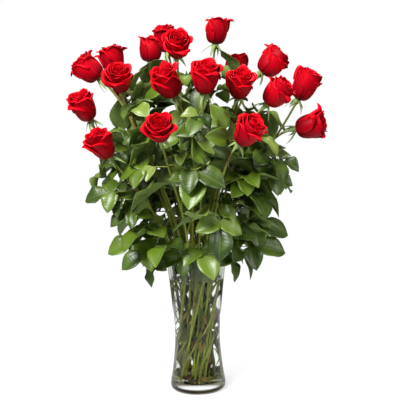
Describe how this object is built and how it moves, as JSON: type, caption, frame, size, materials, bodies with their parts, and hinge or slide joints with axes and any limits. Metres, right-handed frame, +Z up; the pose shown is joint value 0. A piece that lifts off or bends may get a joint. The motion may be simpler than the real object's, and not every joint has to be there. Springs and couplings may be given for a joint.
{
  "type": "roses in a vase",
  "caption": "Tall bouquet of long-stemmed red roses with dense glossy foliage in a flared clear glass vase of water, their stems crossing inside it.",
  "frame": {"origin": "centre of the vase's foot, on the surface it stands on", "axes": "+Z up along the vase's axis; -Y is the front, the side that the picture shows"},
  "size_m": [0.4595, 0.4214, 0.681],
  "materials": {
    "vase_glass": "clear, polished",
    "vase_water": "clear water",
    "foliage": "glossy dark green leaves, paler beneath, on green to reddish stems",
    "petals": "velvety deep red"
  },
  "bodies": {
    "root": {"vase": "vase_glass", "water": "vase_water", "leafy_stem_01": "foliage", "bloom_01": "petals", "leafy_stem_02": "foliage", "bloom_02": "petals", "leafy_stem_03": "foliage", "bloom_03": "petals", "leafy_stem_04": "foliage", "bloom_04": "petals", "leafy_stem_05": "foliage", "bloom_05": "petals", "leafy_stem_06": "foliage", "bloom_06": "petals", "leafy_stem_07": "foliage", "bloom_07": "petals", "leafy_stem_08": "foliage", "bloom_08": "petals", "leafy_stem_09": "foliage", "bloom_09": "petals", "leafy_stem_10": "foliage", "bloom_10": "petals", "leafy_stem_11": "foliage", "bloom_11": "petals", "leafy_stem_12": "foliage", "bloom_12": "petals", "leafy_stem_13": "foliage", "bloom_13": "petals", "leafy_stem_14": "foliage", "bloom_14": "petals", "leafy_stem_15": "foliage", "bloom_15": "petals", "leafy_stem_16": "foliage", "bloom_16": "petals", "leafy_stem_17": "foliage", "bloom_17": "petals", "leafy_stem_18": "foliage", "bloom_18": "petals", "leafy_stem_19": "foliage", "bloom_19": "petals", "leafy_stem_20": "foliage", "bloom_20": "petals", "leafy_stem_21": "foliage", "bloom_21": "petals", "leafy_stem_22": "foliage", "bloom_22": "petals", "leafy_stem_23": "foliage", "bloom_23": "petals", "leafy_stem_24": "foliage", "bloom_24": "petals"}
  },
  "joints": []
}
